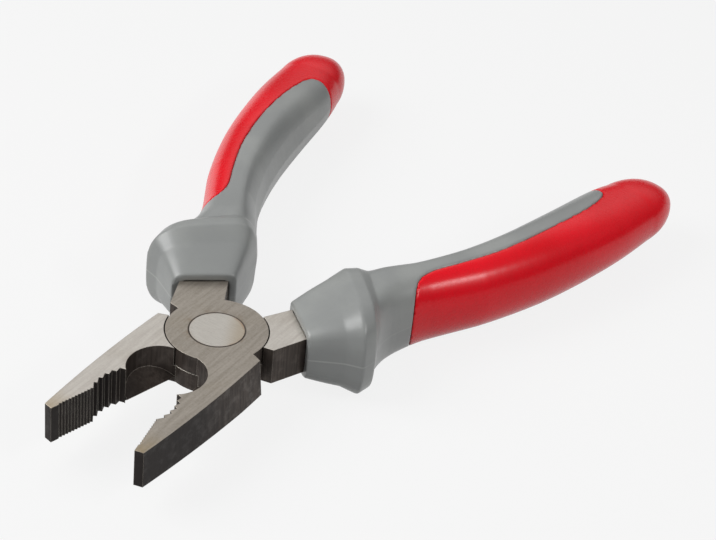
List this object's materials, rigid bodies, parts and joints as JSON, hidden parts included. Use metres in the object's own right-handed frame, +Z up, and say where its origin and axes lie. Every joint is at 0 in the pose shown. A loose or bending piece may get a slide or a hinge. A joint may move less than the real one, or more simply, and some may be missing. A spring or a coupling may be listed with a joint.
{
  "type": "combination pliers",
  "caption": "Lap-joint combination pliers with serrated flat jaws, pipe grip, side cutters and two-colour moulded handles, turning on a flush rivet.",
  "frame": {"origin": "centre of the upper face of the pivot rivet", "axes": "+X from the rivet to the jaw tips along the middle of the opening, +Z up along the rivet, square to the flat faces of the head"},
  "size_m": [0.1837, 0.1256, 0.0254],
  "materials": {
    "forged_steel": "ground faces over dark forged sides",
    "rivet_steel": "ground flush",
    "grey_grip": "satin",
    "red_grip": "satin gloss"
  },
  "bodies": {
    "lower_body": {"lower_half": "forged_steel", "pivot_rivet": "rivet_steel", "lower_grip_sleeve": "grey_grip", "lower_grip_cover": "red_grip"},
    "upper_body": {"upper_half": "forged_steel", "upper_grip_sleeve": "grey_grip", "upper_grip_cover": "red_grip"}
  },
  "joints": [
    {"name": "jaw_pivot", "type": "hinge", "parent": "lower_body", "child": "upper_body", "pos_m": [0, 0, -0.005], "axis": [0, 0, 1], "range_deg": [-27.6, 15]}
  ]
}
